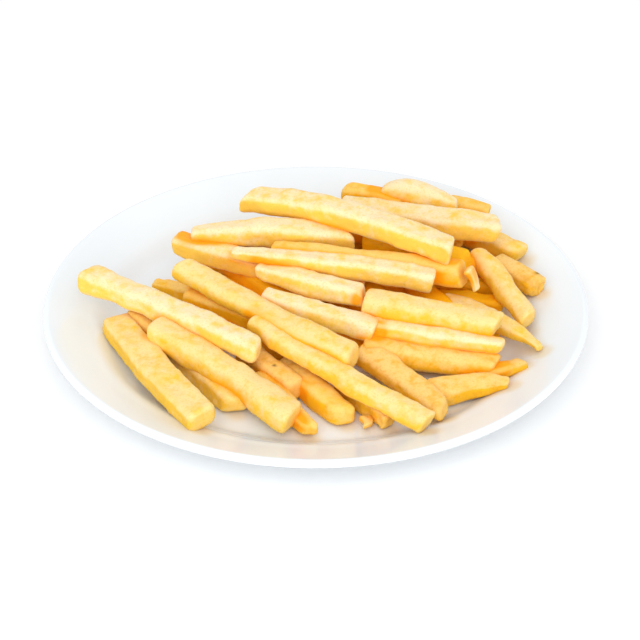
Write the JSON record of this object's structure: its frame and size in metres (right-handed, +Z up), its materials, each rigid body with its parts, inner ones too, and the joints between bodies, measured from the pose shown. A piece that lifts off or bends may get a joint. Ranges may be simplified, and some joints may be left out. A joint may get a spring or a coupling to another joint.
{
  "type": "french fries portion on a plate",
  "caption": "Heap of pale golden thick-cut potato fries on a round white glazed plate with a broad rim and a foot ring.",
  "frame": {"origin": "middle of the plate's foot ring, on the surface that the plate stands on", "axes": "+Z up; the side shown to the diner faces -Y; +X to the diner's right"},
  "size_m": [0.23, 0.23, 0.0493],
  "materials": {
    "white_glaze": "smooth white glaze",
    "fried_potato": "dry fried potato, soft sheen"
  },
  "bodies": {
    "root": {"plate": "white_glaze", "fries_heap": "fried_potato"}
  },
  "joints": []
}
